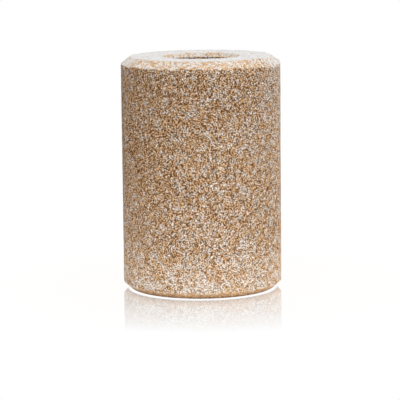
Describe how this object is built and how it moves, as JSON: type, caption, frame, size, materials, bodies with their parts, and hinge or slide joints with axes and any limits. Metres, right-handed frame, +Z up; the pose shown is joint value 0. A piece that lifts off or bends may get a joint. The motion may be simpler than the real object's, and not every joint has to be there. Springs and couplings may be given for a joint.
{
  "type": "filter drier core",
  "caption": "Hollow cylinder of bonded desiccant granules with bevelled ends and a through bore, for the shell of a refrigerant filter drier.",
  "frame": {"origin": "centre of the lower end face, on the bore's axis", "axes": "+Z up along the bore's axis, from the lower end to the upper end"},
  "size_m": [0.096, 0.096, 0.14],
  "materials": {
    "bonded_desiccant": "matte, open grain of tan and white granules about 1 mm across"
  },
  "bodies": {
    "root": {"drier_core": "bonded_desiccant"}
  },
  "joints": []
}
